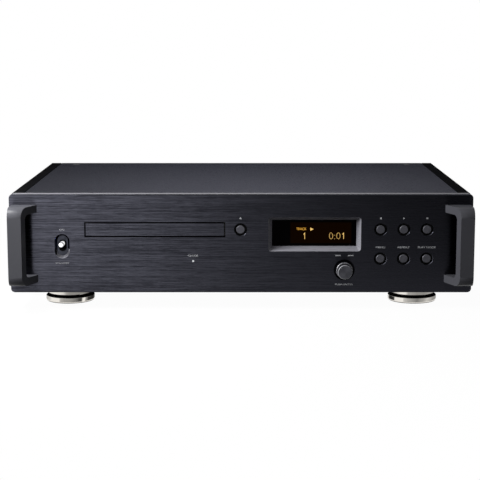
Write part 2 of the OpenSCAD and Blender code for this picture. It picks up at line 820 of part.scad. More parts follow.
// Disc tray and loader

module rack_outline() {
    pitch = PI * gear_module;
    half = pitch / 4 - backlash / 4;
    tip = gear_module * tan(20);
    root = 1.2 * gear_module * tan(20);
    teeth = ceil(tray_travel / pitch) + 4;
    start = gear_v - 2.5 * pitch;
    polygon(concat([for (i = [0 : teeth - 1]) each [
        [rack_u + 1.2 * gear_module, start + i * pitch - half - root],
        [rack_u - gear_module, start + i * pitch - half + tip],
        [rack_u - gear_module, start + i * pitch + half - tip],
        [rack_u + 1.2 * gear_module, start + i * pitch + half + root]]],
        [[rack_u + 6, start + (teeth - 1) * pitch + half + root], [rack_u + 6, start - half - root]]));
}

module disc_tray() {
    color([0.12, 0.12, 0.12]) in_loader() difference() {
        union() {
            box([-tray_w / 2, v_tray, w_tray], [tray_w / 2, v_tail, w_rim]);
            for (a = [-1, 1])
                box([a * (tray_w / 2 - skirt_t / 2) - skirt_t / 2, v_tray, w_skirt],
                    [a * (tray_w / 2 - skirt_t / 2) + skirt_t / 2, v_tail, w_tray + 1]);
            along_z(w_rack, w_tray + 1) rack_outline();
        }
        bar_z(0, 0, w_recess, w_rim + 1, recess_r);
        bar_z(0, 0, w_recess - small_depth, w_rim, small_recess_d / 2);
        bar_z(0, 0, w_tray - 1, w_rim, window_r);
        box([-window_r + 1, 0, w_tray - 1], [window_r - 1, v_tail + 1, w_rim + 1]);
    }
}

module tray_door() {
    color([0.12, 0.12, 0.14]) in_loader() box([-door_w / 2, v_front, -door_h / 2],
        [door_w / 2, v_tray, door_h / 2]);
}

module loader_base() {
    color([0.15, 0.15, 0.15]) in_loader() difference() {
        union() {
            box([-u_loader, v_loader, w_base], [u_loader, v_loader_end, w_deck]);
            box([-u_loader, v_loader_end - loader_wall, w_base], [u_loader, v_loader_end, w_bridge]);
            for (a = [-1, 1]) {
                box([a * (u_wall + loader_wall / 2) - loader_wall / 2, v_loader, w_base],
                    [a * (u_wall + loader_wall / 2) + loader_wall / 2, v_loader_end, w_bridge]);
                box([a * (ledge_u + u_loader - 1) / 2 - (u_loader - 1 - ledge_u) / 2, v_loader,
                    w_skirt - 2.2],
                    [a * (ledge_u + u_loader - 1) / 2 + (u_loader - 1 - ledge_u) / 2, v_loader_end - 1,
                        w_skirt - clear]);
                for (v = [v_loader + 14, v_tail - 30])
                    box([a * (u_wall - 1) - 2.2, v, w_rim + clear],
                        [a * (u_wall - 1) + 2.2, v + 10, w_rim + 2.3]);
            }
            bar_z(gear_u, gear_v, w_deck - 1, w_wheel - clear, axle_r + 2);
            bar_z(gear_u, gear_v, w_deck - 1, w_tray - 1, axle_r);
            bar_z(pulley_u, gear_v, w_deck - 1, w_pulley - clear, axle_r + 2);
            bar_z(pulley_u, gear_v, w_deck - 1, w_pinion + 0.5, axle_r);
            for (p = mount_places) {
                bar_z(p[0], p[1], w_deck - 1, w_plate - plate_t - grommet_t, mount_r + 2);
                bar_z(p[0], p[1], w_deck - 1, w_rack - 0.8, mount_r);
            }
            box([cam_pins[0] - 20, slider_v - clear - 1.5, w_deck - 1], [cam_pins[1] + 20, slider_v - clear,
                w_deck + 3]);
            box([cam_pins[0] - 20, slider_v + slider_t + clear, w_deck - 1],
                [cam_pins[1] + 20, slider_v + slider_t + clear + 1.5, w_deck + 3]);
        }
        box([-20, plate_v + 22, w_base - 1], [20, plate_end - 14, w_deck + 1]);
    }
}

module loader_posts() {
    color([0.5, 0.5, 0.5]) for (a = [-post_u, post_u])
        for (b = [v_loader + 9, v_loader_end - 9])
            bar_z(tray_x + a, disc_y + b, z_in, tray_z + w_base, post_r);
}

module clamp_bridge() {
    color([0.45, 0.45, 0.46]) in_loader() difference() {
        box([-u_loader, -24, w_bridge], [u_loader, 24, w_bridge + bridge_t]);
        bar_z(0, 0, w_bridge - 1, w_bridge + bridge_t + 1, 14);
    }
}

module clamp_puck() {
    color([0.18, 0.18, 0.18]) in_loader() turned_z(0, 0) polygon([[0, w_puck + 2.4],
        [cone_r + 1, w_puck + 2.4],
        [cone_r + 1, w_puck], [12, w_puck], [12, w_bridge + bridge_t + clear],
        [17, w_bridge + bridge_t + clear], [17, w_bridge + bridge_t + 2], [8, w_bridge + bridge_t + 3.5],
        [0, w_bridge + bridge_t + 3.5]]);
}

module loading_motor() {
    color([0.6, 0.6, 0.62]) in_loader() difference() {
        bar_z(motor_u, gear_v, w_deck, w_pulley - 1.5, 10.5);
        bar_z(motor_u, gear_v, w_deck + 2, w_pulley, 1 + fit);
    }
}

module motor_pulley() {
    color([0.75, 0.72, 0.6]) in_loader() turned_z(motor_u, gear_v) polygon([[0, w_deck + 3], [1, w_deck + 3],
        [1, w_pulley], [motor_rim, w_pulley], [motor_rim, w_belt - belt_t / 2 - 0.3],
        [motor_pulley_r, w_belt - belt_t / 2 - 0.2], [motor_pulley_r, w_belt + belt_t / 2 + 0.2],
        [motor_rim, w_belt + belt_t / 2 + 0.3], [motor_rim, w_wheel - 0.5], [0, w_wheel - 0.5]]);
}

module belt_outline(grow) {
    hull() {
        translate([motor_u, gear_v]) circle(motor_pulley_r + grow, $fn = 32);
        translate([pulley_u, gear_v]) circle(pulley_r + grow, $fn = 32);
    }
}

module drive_belt() {
    color([0.05, 0.05, 0.05]) in_loader() along_z(w_belt - belt_t / 2, w_belt + belt_t / 2) difference() {
        belt_outline(belt_t + 0.2);
        belt_outline(0.2);
    }
}

module belt_pulley() {
    color([0.9, 0.9, 0.86]) in_loader() difference() {
        union() {
            turned_z(pulley_u, gear_v) polygon([[0, w_pulley], [pulley_rim, w_pulley],
                [pulley_rim, w_belt - belt_t / 2 - 0.3], [pulley_r, w_belt - belt_t / 2 - 0.2],
                [pulley_r, w_belt + belt_t / 2 + 0.2], [pulley_rim, w_belt + belt_t / 2 + 0.3],
                [pulley_rim, w_wheel - 0.5], [0, w_wheel - 0.5]]);
            translate([pulley_u, gear_v, 0]) along_z(w_wheel - 1, w_pinion) rotate(180 / pulley_teeth)
                gear_outline(pulley_teeth);
        }
        bar_z(pulley_u, gear_v, w_pulley - 1, w_pinion + 1, axle_r + fit);
    }
}

module loading_gear() {
    color([0.9, 0.9, 0.86]) in_loader() difference() {
        translate([gear_u, gear_v, 0]) union() {
            along_z(w_wheel, w_pinion) rotate(180) gear_outline(wheel_teeth);
            along_z(w_pinion - 1, w_tray - 0.6) gear_outline(pinion_teeth);
        }
        bar_z(gear_u, gear_v, w_wheel - 1, w_tray, axle_r + fit);
    }
}

// Traverse and pickup

module cam_slot(u) {
    angle = atan(lift / cam_travel);
    length = sqrt(lift * lift + cam_travel * cam_travel);
    translate([u, w_rod]) rotate(angle) {
        circle(pin_r + 0.2);
        translate([length, 0]) circle(pin_r + 0.2);
        translate([0, -pin_r - 0.2]) square([length, 2 * pin_r + 0.4]);
    }
}

module cam_slider() {
    color([0.8, 0.8, 0.76]) in_loader() along_y(slider_v, slider_v + slider_t) difference() {
        translate([cam_pins[0] - 7, w_deck + clear])
            square([cam_pins[1] - cam_pins[0] + cam_travel + 14, w_tray - 1 - w_deck - clear]);
        for (u = cam_pins)
            cam_slot(u);
    }
}

module traverse_plate() {
    color([0.55, 0.55, 0.57]) in_loader() difference() {
        union() {
            box([-mount_u - 6, plate_v, w_plate - plate_t], [mount_u + 6, plate_end, w_plate]);
            box([cam_pins[0] - 5, plate_v, w_plate - 1], [cam_pins[1] + 5, plate_v + 1.6, w_rod + 3.5]);
            for (u = cam_pins)
                bar_y(u, w_rod, slider_v - 0.5, plate_v + 1, pin_r);
            for (v = [holder_v, holder_end])
                for (a = [-1, 1])
                    box([a * rod_u - 3, v, w_plate - 1], [a * rod_u + 3, v + holder_t, w_rod + rod_r + 1.5]);
            for (v = [holder_v, feed_v - 1.6])
                box([screw_u - 4, v, w_plate - 1], [screw_u + 4, v + 1.6, w_screw + rod_r + 1.5]);
        }
        bar_z(0, 0, w_plate - plate_t - 1, w_plate + 1, 3);
        for (p = mount_places)
            bar_z(p[0], p[1], w_plate - plate_t - 1, w_plate + 1, mount_r + 1.5);
        for (a = [-1, 1])
            bar_y(a * rod_u, w_rod, holder_v - 1, holder_end + holder_t + 1, rod_r + 0.02);
        bar_y(screw_u, w_screw, holder_v - 1, feed_v + 1, rod_r + fit);
        box([screw_u - feed_r - 0.5, feed_v, w_plate - plate_t - 1],
            [screw_u + feed_r + 0.5, feed_v + feed_len + 1, w_plate + 1]);
    }
}

module traverse_grommets() {
    color([0.05, 0.05, 0.05]) in_loader() for (p = mount_places)
        turned_z(p[0], p[1]) polygon([[mount_r + 0.08, w_plate - plate_t - grommet_t],
            [mount_r + 3, w_plate - plate_t - grommet_t], [mount_r + 3, w_plate - plate_t],
            [mount_r + 1.48, w_plate - plate_t], [mount_r + 1.48, w_plate], [mount_r + 3, w_plate],
            [mount_r + 3, w_plate + grommet_t], [mount_r + 0.08, w_plate + grommet_t]]);
}

module spindle_motor() {
    color([0.6, 0.6, 0.62]) in_loader() difference() {
        bar_z(0, 0, w_plate - plate_t - spindle_h, w_plate - plate_t, spindle_r);
        bar_z(0, 0, w_plate - plate_t - spindle_h + 1, w_plate, rod_r + fit);
    }
}

module turntable() {
    color([0.3, 0.3, 0.32]) in_loader() turned_z(0, 0) polygon([[0, w_plate - plate_t - spindle_h + 2],
        [rod_r, w_plate - plate_t - spindle_h + 2], [rod_r, w_plate + 1], [4, w_plate + 1], [4, w_seat - 3],
        [turntable_r, w_seat - 3], [turntable_r, w_seat], [cone_r, w_seat], [cone_r - 1, w_seat + 1.8],
        [0, w_seat + 1.8]]);
}

module guide_rods() {
    color([0.8, 0.8, 0.8]) in_loader() for (a = [-1, 1])
        bar_y(a * rod_u, w_rod, holder_v, holder_end + holder_t, rod_r);
}

module pickup_sled() {
    color([0.25, 0.25, 0.26]) in_loader() difference() {
        union() {
            box([-sled_u, lens_in - sled_v, w_plate + 0.5], [sled_u, lens_in + sled_v, w_sled]);
            box([screw_u - 4, lens_in - nut_v, w_screw], [1 - sled_u, lens_in + nut_v, w_sled]);
            box([-7, lens_in - 6, w_sled - 1], [7, lens_in + 6, w_seat - 2.5]);
        }
        for (a = [-1, 1])
            bar_y(a * rod_u, w_rod, lens_in - sled_v - 1, lens_in + sled_v + 1, rod_r + fit);
        bar_y(screw_u, w_screw, lens_in - nut_v - 1, lens_in + nut_v + 1, rod_r + fit);
    }
}

module pickup_lens() {
    color([0.5, 0.6, 0.8]) in_loader() bar_z(0, lens_in, w_seat - 2.5, w_seat - 1.9, 2.5);
}

module feed_motor() {
    color([0.6, 0.6, 0.62]) in_loader() difference() {
        bar_y(screw_u, w_screw, feed_v, feed_v + feed_len, feed_r);
        bar_y(screw_u, w_screw, feed_v - 1, feed_v + feed_len - 3, 1 + fit);
    }
}

module lead_screw() {
    color([0.8, 0.8, 0.8]) in_loader() turned_y(screw_u, w_screw) polygon([[0, holder_v], [rod_r, holder_v],
        [rod_r, feed_v - clear], [1, feed_v - clear], [1, feed_v + feed_len - 4],
        [0, feed_v + feed_len - 4]]);
}

// Electronics and rear sockets

module signal_board() {
    color([0.06, 0.25, 0.14]) union() {
        box([signal_lo[0], signal_lo[1], z_board], [signal_hi[0], signal_hi[1], z_board + board_t]);
        for (p = [[-150, 30, 14], [-105, 34, 10], [-60, 30, 18]])
            box([p[0] - p[2], signal_lo[1] + p[1] - p[2], z_board + board_t - 0.5],
                [p[0] + p[2], signal_lo[1] + p[1] + p[2], z_board + board_t + 2.5]);
    }
}

module power_board() {
    color([0.06, 0.25, 0.14]) union() {
        box([power_lo[0], power_lo[1], z_board], [power_hi[0], power_hi[1], z_board + board_t]);
        for (a = [-1, 1])
            for (b = [28, 56])
                bar_z((power_lo[0] + power_hi[0]) / 2 + a * 20, power_lo[1] + b, z_board + 1,
                    z_board + 34, 11);
    }
}

module transformer() {
    color([0.2, 0.2, 0.25]) turned_z(coil_x, coil_y) polygon([[coil_bore, z_in + 4], [coil_bore + 4, z_in],
        [coil_r - 8, z_in], [coil_r, z_in + 8], [coil_r, z_in + coil_h - 8], [coil_r - 8, z_in + coil_h],
        [coil_bore + 4, z_in + coil_h], [coil_bore, z_in + coil_h - 4]]);
}

module mains_inlet() {
    color([0.04, 0.04, 0.04]) difference() {
        union() {
            box([inlet_x - 14, y_inner - 20, inlet_z - 10.5], [inlet_x + 14, y_rear + 1, inlet_z + 10.5]);
            along_y(y_rear, y_rear + 3) translate([inlet_x, inlet_z]) rounded(50, 25, 4);
        }
        box([inlet_x - 12, y_rear - 14, inlet_z - 8], [inlet_x + 12, y_rear + 4, inlet_z + 8]);
    }
    color([0.8, 0.75, 0.6]) for (p = [[-7, -1.5], [7, -1.5], [0, 2.5]])
        box([inlet_x + p[0] - 1, y_rear - 14, inlet_z + p[1] - 2], [inlet_x + p[0] + 1, y_rear - 4,
            inlet_z + p[1] + 2]);
}

module coaxial_socket() {
    color([0.85, 0.7, 0.35]) turned_y(coaxial_x, socket_z) polygon([[1.7, y_rear - 2], [0, y_rear - 2],
        [0, y_inner - 10], [5.4, y_inner - 10], [5.4, y_rear], [6.8, y_rear], [6.8, y_rear + 2],
        [4.15, y_rear + 2], [4.15, y_rear + 11], [1.7, y_rear + 11]]);
}

module optical_socket() {
    color([0.06, 0.06, 0.06]) difference() {
        union() {
            box([optical_x - 5, y_inner - 10, socket_z - 5], [optical_x + 5, y_rear + 1, socket_z + 5]);
            box([optical_x - 6.5, y_rear, socket_z - 6.5], [optical_x + 6.5, y_rear + 2.5, socket_z + 6.5]);
        }
        box([optical_x - 3.2, y_rear - 6, socket_z - 3.2], [optical_x + 3.2, y_rear + 3, socket_z + 3.2]);
    }
}

module clock_socket() {
    color([0.75, 0.75, 0.74]) difference() {
        union() {
            turned_y(clock_x, socket_z) polygon([[0, y_inner - 10], [6, y_inner - 10], [6, y_rear],
                [8, y_rear],
                [8, y_rear + 3], [4.8, y_rear + 3], [4.8, y_rear + socket_reach],
                [0, y_rear + socket_reach]]);
            translate([clock_x - 5.5, y_rear + socket_reach - 4, socket_z]) rotate([0, 90, 0])
                cylinder(h = 11, r = 1);
        }
        difference() {
            bar_y(clock_x, socket_z, y_rear + 4, y_rear + socket_reach + 1, 4);
            bar_y(clock_x, socket_z, y_rear + 3, y_rear + socket_reach - 2, 1.2);
        }
    }
}

front_panel();
left_handle();
right_handle();
left_side();
right_side();
top_plate();
floor_pan();
rear_panel();
case_screws();
foot_collars();
foot_spikes();
foot_dishes();
eject_button();
stop_button();
play_button();
pause_button();
menu_button();
repeat_button();
mode_button();
button_guides();
button_switches();
control_board();
jog_knob();
jog_shaft();
encoder_plunger();
encoder_body();
power_lever();
power_switch();
display_window();
display_module();
clock_lamp();
disc_tray();
tray_door();
loader_base();
loader_posts();
clamp_bridge();
clamp_puck();
loading_motor();
motor_pulley();
drive_belt();
belt_pulley();
loading_gear();
cam_slider();
traverse_plate();
traverse_grommets();
spindle_motor();
turntable();
guide_rods();
pickup_sled();
pickup_lens();
feed_motor();
lead_screw();
signal_board();
power_board();
transformer();
mains_inlet();
coaxial_socket();
optical_socket();
clock_socket();
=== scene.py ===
"""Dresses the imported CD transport: surfaces, panel markings, display, studio light and camera."""

import json
import math

import bmesh
import bpy
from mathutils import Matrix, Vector


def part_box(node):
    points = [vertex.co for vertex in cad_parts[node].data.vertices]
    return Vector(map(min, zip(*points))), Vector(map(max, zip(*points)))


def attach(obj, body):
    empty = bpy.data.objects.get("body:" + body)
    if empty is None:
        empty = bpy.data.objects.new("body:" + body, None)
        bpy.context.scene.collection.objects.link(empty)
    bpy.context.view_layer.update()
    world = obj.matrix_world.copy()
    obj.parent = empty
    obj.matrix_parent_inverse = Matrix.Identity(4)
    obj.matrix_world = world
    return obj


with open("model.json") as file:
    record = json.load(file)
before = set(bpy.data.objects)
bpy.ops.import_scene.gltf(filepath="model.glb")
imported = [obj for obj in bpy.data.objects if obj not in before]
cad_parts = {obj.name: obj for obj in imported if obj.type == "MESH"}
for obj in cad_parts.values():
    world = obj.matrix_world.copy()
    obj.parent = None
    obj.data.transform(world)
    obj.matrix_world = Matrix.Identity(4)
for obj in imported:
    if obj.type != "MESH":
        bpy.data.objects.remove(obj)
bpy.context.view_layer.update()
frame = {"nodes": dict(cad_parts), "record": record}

MM = 0.001
NODES = frame["nodes"]
SLOT_OF = {row["node"]: row["material_slot"] for row in frame["record"]["subparts"]}


# Places on the front panel

def spread_box(name, margin):
    """A node's box, wider by a margin in millimetres."""
    low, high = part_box(name)
    edge = Vector((margin, margin, margin)) * MM
    return low - edge, high + edge


def centre(name):
    """The middle of a node's box."""
    low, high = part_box(name)
    return (low + high) / 2


# The face, the band at the top that is painted lighter as a painted highlight, and how far behind the face
# the panel is painted black as painted shade
FACE_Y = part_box("front_panel")[0].y
TOP_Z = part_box("front_panel")[1].z
TOP_BAND = 0.1 * MM
RECESS = 2.0 * MM

# The lever's recess, of which the right and lower slopes are painted lighter, a painted highlight for the
# light they catch, as the display frame's slopes are
LEVER_BOX = spread_box("power_switch", 4.0)
LEVER_EDGE = Vector((5.0, 0.0, 0.0)) * MM
LEVER_FOOT = Vector((0.0, 0.0, -16.0)) * MM
PAINTED_LIGHT_BOXES = (spread_box("display_window", 5.0),
             (LEVER_BOX[0] + LEVER_EDGE, LEVER_BOX[1] + LEVER_FOOT))

# The buttons' holes, and the share of black painted on their edges as painted shade
HOLE_BOXES = (spread_box("eject_button", 4.0),
              (spread_box("menu_button", 4.0)[0], spread_box("pause_button", 4.0)[1]))
HOLE_SHADE = 0.55

# Brush strokes: how many in a metre along the panel and across it, and their share of the tone
STREAKS = ((14.0, 2600.0, 0.4), (65.0, 2900.0, 0.35), (230.0, 3300.0, 0.25))
STREAKS_INWARD = 10.0
FINE_STROKES = (60.0, 300.0, 2600.0)

# The strokes are painted deepest on the left, a painted highlight for the light that falls there: their
# depth at the two ends of a stretch along X
STREAK_DEPTHS_PAINTED_LIGHT = (0.62, 0.05)
STREAK_STRETCH = (-0.1, 0.15)

# How far a normal looks ahead where square sides end, where slopes begin and where the front begins
SQUARE_ENDS = (0.1, 0.2)
SLOPE_BEGINS = (0.2, 0.3)
FRONT_BEGINS = (0.88, 0.96)

# Faces painted lighter as a painted highlight scatter light: their share of bare metal
PAINTED_LIGHT_METAL = 0.1

# A place along Y that lies behind everything
FAR_BEHIND = 10.0


# Surfaces

class Surface:
    """A principled material under construction, with its textures in the object's own metres."""

    def __init__(self, name, colour, **sockets):
        self.material = bpy.data.materials.new(name)
        self.material.use_nodes = True
        self.tree = self.material.node_tree
        self.shader = self.tree.nodes["Principled BSDF"]
        self.shader.inputs["Base Color"].default_value = (*colour, 1.0)
        for socket, value in sockets.items():
            self.shader.inputs[socket.replace("_", " ")].default_value = value
        texture = self.tree.nodes.new("ShaderNodeTexCoord")
        self.coordinates = texture.outputs["Object"]
        self.places = self.split(texture.outputs["Object"])
        self.normals = self.split(texture.outputs["Normal"])

    def node(self, kind, **inputs):
        """A new node with some of its inputs set."""
        made = self.tree.nodes.new(kind)
        for socket, value in inputs.items():
            made.inputs[socket.replace("_", " ")].default_value = value
        return made

    def link(self, source, target):
        """Joins an output to an input."""
        self.tree.links.new(source, target)

    def feed(self, source, socket):
        """Drives one of the shader's own inputs."""
        self.link(source, self.shader.inputs[socket])

    def split(self, vector):
        """The X, Y and Z outputs of a vector."""
        parts = self.tree.nodes.new("ShaderNodeSeparateXYZ")
        self.link(vector, parts.inputs[0])
        return parts.outputs

    def maths(self, operation, *terms):
        """One step of arithmetic on numbers and on the outputs of other nodes."""
        step = self.tree.nodes.new("ShaderNodeMath")
        step.operation = operation
        for socket, term in zip(step.inputs, terms):
            if isinstance(term, float):
                socket.default_value = term
            else:
                self.link(term, socket)
        return step.outputs[0]

    def texture(self, kind, cycles, **inputs):
        """A texture with so many cycles in a metre along X, Y and Z."""
        mapping = self.node("ShaderNodeMapping", Scale=cycles)
        texture = self.node(kind, Scale=1.0, **inputs)
        self.link(self.coordinates, mapping.inputs["Vector"])
        self.link(mapping.outputs["Vector"], texture.inputs["Vector"])
        return texture.outputs

    def noise(self, cycles, detail=3.0):
        """Clouds or specks of smooth tone."""
        return self.texture("ShaderNodeTexNoise", cycles, Detail=detail, Roughness=0.6)["Fac"]

    def dashes(self, cycles):
        """Long cells of even random tone."""
        return self.split(self.texture("ShaderNodeTexVoronoi", cycles)["Color"])["X"]

    def spread(self, factor, low, high, low_at=0.3, high_at=0.7):
        """A factor stretched to a range of values, by default from the middle of a noise."""
        scale = self.node("ShaderNodeMapRange")
        for place, value in zip(range(1, 5), (low_at, high_at, low, high)):
            scale.inputs[place].default_value = value
        self.link(factor, scale.inputs[0])
        return scale.outputs[0]

    def blend(self, factor, first, second):
        """Two colours mixed by a factor; either may be the output of another node."""
        mix = self.tree.nodes.new("ShaderNodeMix")
        mix.data_type = "RGBA"
        self.link(factor, mix.inputs[0])
        for place, colour in ((6, first), (7, second)):
            if isinstance(colour, tuple):
                mix.inputs[place].default_value = (*colour, 1.0)
            else:
                self.link(colour, mix.inputs[place])
        return mix.outputs[2]

    def tint(self, factor, dark, light):
        """Colours the surface between two tones."""
        self.feed(self.blend(factor, dark, light), "Base Color")

    def vary(self, factor, socket, low, high):
        """Varies one of the shader's inputs by a noise."""
        self.feed(self.spread(factor, low, high), socket)

    def bump(self, factor, depth):
        """Relief of a depth in metres."""
        bump = self.node("ShaderNodeBump", Strength=1.0, Distance=depth)
        self.link(factor, bump.inputs["Height"])
        self.feed(bump.outputs["Normal"], "Normal")

    def ahead(self):
        """How far a face looks along Y, forward or back."""
        return self.maths("ABSOLUTE", self.normals["Y"])

    def slope(self):
        """1 on faces that slope between the front and the sides, 0 on the front and on square sides."""
        ahead = self.ahead()
        off_side = self.spread(ahead, 0.0, 1.0, *SLOPE_BEGINS)
        off_front = self.spread(ahead, 1.0, 0.0, *FRONT_BEGINS)
        return self.maths("MULTIPLY", off_side, off_front)

    def zone(self, low, high):
        """1 inside a box across X and Z, given by two corners, and 0 outside it."""
        middle, half = (low + high) / 2, (high - low) / 2
        across = self.maths("COMPARE", self.places["X"], middle.x, half.x)
        return self.maths("MULTIPLY", across, self.maths("COMPARE", self.places["Z"], middle.z, half.z))

    def zones(self, boxes):
        """1 inside either of two boxes."""
        return self.maths("MAXIMUM", *(self.zone(*box) for box in boxes))

    def behind(self, depth):
        """1 on what lies deeper than a place along Y, 0 in front of it."""
        return self.maths("GREATER_THAN", self.places["Y"], depth)

    def painted_light_share(self, factor):
        """Bare metal where a factor is 0, and where it is 1 a scattering face painted lighter, a painted
        highlight.
        """
        self.feed(self.spread(factor, 1.0, PAINTED_LIGHT_METAL, 0.0, 1.0), "Metallic")

    def grain(self, axis, amount):
        """Stretches the highlights across grooves that run along or round an axis."""
        tangent = self.tree.nodes.new("ShaderNodeTangent")
        tangent.direction_type = "RADIAL"
        tangent.axis = axis
        self.shader.inputs["Anisotropic"].default_value = amount
        self.feed(tangent.outputs["Tangent"], "Tangent")


def brushed(name, dark, light, painted_slope_light, edge, painted_recess_shade, floor, roughness, amount):
    """Aluminium brushed along X.

    The slopes of the display and of the lever and the top edge are painted lighter, a painted highlight.
    The recesses and the edges of the buttons' holes are painted dark, a painted shade.
    """
    surface = Surface(name, light, Metallic=1.0, Specular_Tint=(0.2, 0.2, 0.2, 1.0))
    streaks = 0.0
    for along, across, share in STREAKS:
        dashes = surface.dashes((along, STREAKS_INWARD, across))
        streaks = surface.maths("MULTIPLY_ADD", dashes, share, streaks)
    # Painted highlight: the strokes' depth falls from the lit left towards the right
    depth = surface.spread(surface.places["X"], *STREAK_DEPTHS_PAINTED_LIGHT, *STREAK_STRETCH)
    streaks = surface.maths("MULTIPLY_ADD", surface.spread(streaks, -1.0, 1.0, 0.25, 0.75), depth, 0.5)
    skin = surface.blend(streaks, dark, light)

    top = surface.maths("GREATER_THAN", surface.places["Z"], TOP_Z - TOP_BAND)
    # Painted shade: square sides and what lies deeper than the recess are painted dark, the lever's recess
    # floor less so
    square = surface.spread(surface.ahead(), 1.0, 0.0, *SQUARE_ENDS)
    sunk = surface.behind(FACE_Y + RECESS)
    recess = surface.maths("MAXIMUM", square, sunk)
    recess = surface.maths("MULTIPLY", recess, surface.maths("SUBTRACT", 1.0, top))
    hollow = surface.maths("MULTIPLY", sunk, surface.zone(*LEVER_BOX))
    skin = surface.blend(recess, skin, surface.blend(hollow, painted_recess_shade, floor))

    slope = surface.slope()
    # Painted shade: the sloped edges of the buttons' holes are darkened
    holes = surface.maths("MULTIPLY", slope, surface.zones(HOLE_BOXES))
    skin = surface.blend(surface.maths("MULTIPLY", holes, HOLE_SHADE), skin, painted_recess_shade)
    # Painted highlight: slopes in these boxes and the top band are painted lighter for the light they catch
    framed = surface.maths("MULTIPLY", slope, surface.zones(PAINTED_LIGHT_BOXES))
    bright = surface.maths("MAXIMUM", framed, top)
    surface.tint(bright, skin, surface.blend(top, painted_slope_light, edge))
    surface.painted_light_share(bright)

    fine = surface.noise(FINE_STROKES, detail=2.0)
    surface.vary(fine, "Roughness", roughness - 0.03, roughness + 0.04)
    surface.bump(fine, 0.006 * MM)
    surface.grain("X", amount)
    return surface.material


def satin(name, dark, light, roughness, metallic=1.0, cycles=900.0, relief=0.008, **sockets):
    """A fine even finish, with its relief in millimetres: blasted metal, paint or moulded plastic."""
    surface = Surface(name, light, Metallic=metallic, **sockets)
    cloud = surface.noise((28.0, 28.0, 28.0), detail=4.0)
    speck = surface.noise((cycles, cycles, cycles), detail=2.0)
    surface.tint(surface.spread(cloud, 0.0, 1.0), dark, light)
    surface.vary(speck, "Roughness", roughness - 0.04, roughness + 0.05)
    surface.bump(speck, relief * MM)
    return surface.material


def turned(name, dark, light, roughness, axis, amount=0.5, painted_shade_from=FAR_BEHIND, painted_slope_light=None, **sockets):
    """Metal turned on a lathe, with fine rings round an axis.

    Behind a place along Y it is painted black, a painted shade for where it sits in its hole. Its sloped
    edges may be painted in a lighter colour of their own, a painted highlight.
    """
    surface = Surface(name, light, **{"Metallic": 1.0, **sockets})
    speck = surface.noise((700.0, 700.0, 700.0))
    shine = surface.blend(surface.spread(speck, 0.0, 1.0), dark, light)
    if painted_slope_light is not None:
        # Painted highlight: sloped edges take a lighter colour
        slope = surface.slope()
        shine = surface.blend(slope, shine, painted_slope_light)
        surface.painted_light_share(slope)
    # Painted shade: black behind a place along Y, where the part sits in its hole
    surface.tint(surface.behind(painted_shade_from), shine, (0.004, 0.004, 0.004))
    surface.vary(surface.noise((60.0, 60.0, 60.0)), "Roughness", roughness - 0.02, roughness + 0.03)
    surface.grain(axis, amount)
    return surface.material


def plated(name):
    """Polished nickel with faint turned rings; faces that look up or down are painted near black, a painted
    shade for the gaps between the collar, the dish and the panel.
    """
    surface = Surface(name, (0.75, 0.72, 0.67), Metallic=1.0)
    speck = surface.noise((250.0, 250.0, 2200.0), detail=2.0)
    shine = surface.blend(surface.spread(speck, 0.0, 1.0), (0.72, 0.69, 0.64), (0.79, 0.76, 0.71))
    # Painted shade: faces that look up or down are painted near black and lose their shine
    level = surface.spread(surface.maths("ABSOLUTE", surface.normals["Z"]), 0.0, 1.0, 0.4, 0.65)
    surface.tint(level, shine, (0.012, 0.012, 0.01))
    surface.feed(surface.blend(level, (1.0, 1.0, 1.0), (0.03, 0.03, 0.03)), "Specular Tint")
    surface.vary(speck, "Roughness", 0.08, 0.14)
    return surface.material


def board(name, parts_above=None):
    """A green circuit board with copper tracks; what stands above a height is black."""
    surface = Surface(name, (0.01, 0.07, 0.03), Roughness=0.35, Coat_Weight=0.3)
    tracks = surface.noise((420.0, 160.0, 420.0), detail=1.0)
    copper = surface.spread(tracks, 0.0, 1.0, 0.5, 0.53)
    green = surface.blend(copper, (0.006, 0.05, 0.022), (0.02, 0.11, 0.045))
    if parts_above is not None:
        above = surface.maths("GREATER_THAN", surface.places["Z"], parts_above)
        green = surface.blend(above, green, (0.012, 0.012, 0.013))
    surface.feed(green, "Base Color")
    surface.bump(tracks, 0.03 * MM)
    return surface.material


def wound(name):
    """A toroidal winding under clear tape, with its turns across the ring."""
    surface = Surface(name, (0.45, 0.2, 0.06), Roughness=0.3, Coat_Weight=0.5)
    turns = surface.noise((520.0, 520.0, 40.0), detail=2.0)
    surface.tint(surface.spread(turns, 0.0, 1.0), (0.25, 0.1, 0.03), (0.55, 0.27, 0.09))
    surface.bump(turns, 0.2 * MM)
    return surface.material


def glowing(name, colour, strength, base=(0.001, 0.001, 0.001)):
    """A lit surface with a slight unevenness."""
    surface = Surface(name, base, Roughness=0.5, Specular_IOR_Level=0.0)
    surface.shader.inputs["Emission Color"].default_value = (*colour, 1.0)
    surface.vary(surface.noise((900.0, 900.0, 900.0)), "Emission Strength", 0.9 * strength, 1.1 * strength)
    return surface.material


